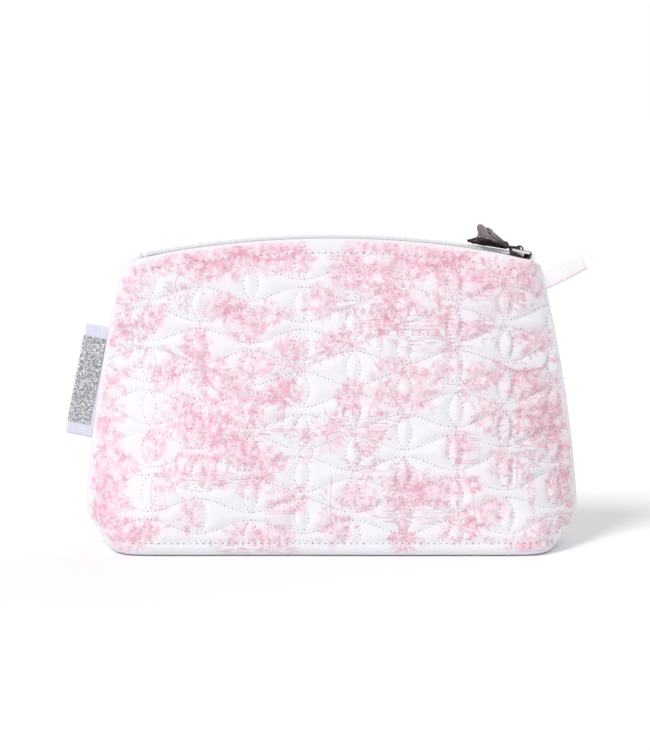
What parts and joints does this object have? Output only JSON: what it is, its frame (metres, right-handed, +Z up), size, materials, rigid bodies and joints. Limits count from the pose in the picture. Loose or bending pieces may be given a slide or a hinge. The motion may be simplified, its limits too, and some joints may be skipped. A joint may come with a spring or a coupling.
{
  "type": "makeup bag",
  "caption": "Soft quilted cotton pouch with boxed base corners, an arched coil zip with a butterfly pull, a ribbon side label and a hanging loop.",
  "frame": {"origin": "middle of the base's underside, on the surface the bag stands on", "axes": "+X to the right along the zip, +Y to the back, +Z up"},
  "size_m": [0.2501, 0.0708, 0.154],
  "materials": {
    "printed_cotton": "white cotton with a pink line print",
    "wadding": "soft polyester wadding",
    "lining_cotton": "plain cotton",
    "binding_tape": "woven tape",
    "satin_ribbon": "satin",
    "silver_glitter": "silver glitter",
    "loop_cotton": "white cotton with a pink edge",
    "stop_metal": "satin",
    "zip_tape": "woven tape",
    "zip_coil": "nylon coil",
    "thread": "sewing thread",
    "polished_nickel": "polished",
    "dark_nickel": "polished dark nickel"
  },
  "bodies": {
    "base": {"base_outer": "printed_cotton", "base_wadding": "wadding", "base_lining": "lining_cotton", "left_seam_binding": "binding_tape", "right_seam_binding": "binding_tape", "side_label": "satin_ribbon", "label_glitter": "silver_glitter", "hanging_loop": "loop_cotton", "zip_top_stops": "stop_metal", "zip_bottom_stop": "stop_metal"},
    "front_half": {"front_outer": "printed_cotton", "front_wadding": "wadding", "front_lining": "lining_cotton", "front_zip_tape": "zip_tape", "front_zip_coil": "zip_coil", "front_top_stitching": "thread", "front_bottom_stitching": "thread"},
    "back_half": {"back_outer": "printed_cotton", "back_wadding": "wadding", "back_lining": "lining_cotton", "back_zip_tape": "zip_tape", "back_zip_coil": "zip_coil", "back_top_stitching": "thread", "back_bottom_stitching": "thread"},
    "slider": {"slider_body": "polished_nickel"},
    "pull": {"butterfly_pull": "dark_nickel"}
  },
  "joints": [
    {"name": "slider_travel", "type": "hinge", "parent": "base", "child": "slider", "pos_m": [0, 0, -0.322], "axis": [0, -1, 0], "range_deg": [0, 20.8]},
    {"name": "front_mouth", "type": "hinge", "parent": "base", "child": "front_half", "pos_m": [0, -0.032, 0.0009], "axis": [1, 0, 0], "range_deg": [0, 11], "deforming": ["front_zip_tape", "front_zip_coil"]},
    {"name": "back_mouth", "type": "hinge", "parent": "base", "child": "back_half", "pos_m": [0, 0.032, 0.0009], "axis": [-1, 0, 0], "range_deg": [0, 11], "deforming": ["back_zip_tape", "back_zip_coil"]},
    {"name": "pull_swing", "type": "hinge", "parent": "slider", "child": "pull", "pos_m": [0.08959, 0, 0.14269], "axis": [0, 1, 0], "range_deg": [0, 150]}
  ],
  "couplings": [
    {"joint": "front_mouth", "follows": "slider_travel", "ratio": 0.5276},
    {"joint": "back_mouth", "follows": "slider_travel", "ratio": 0.5276}
  ]
}
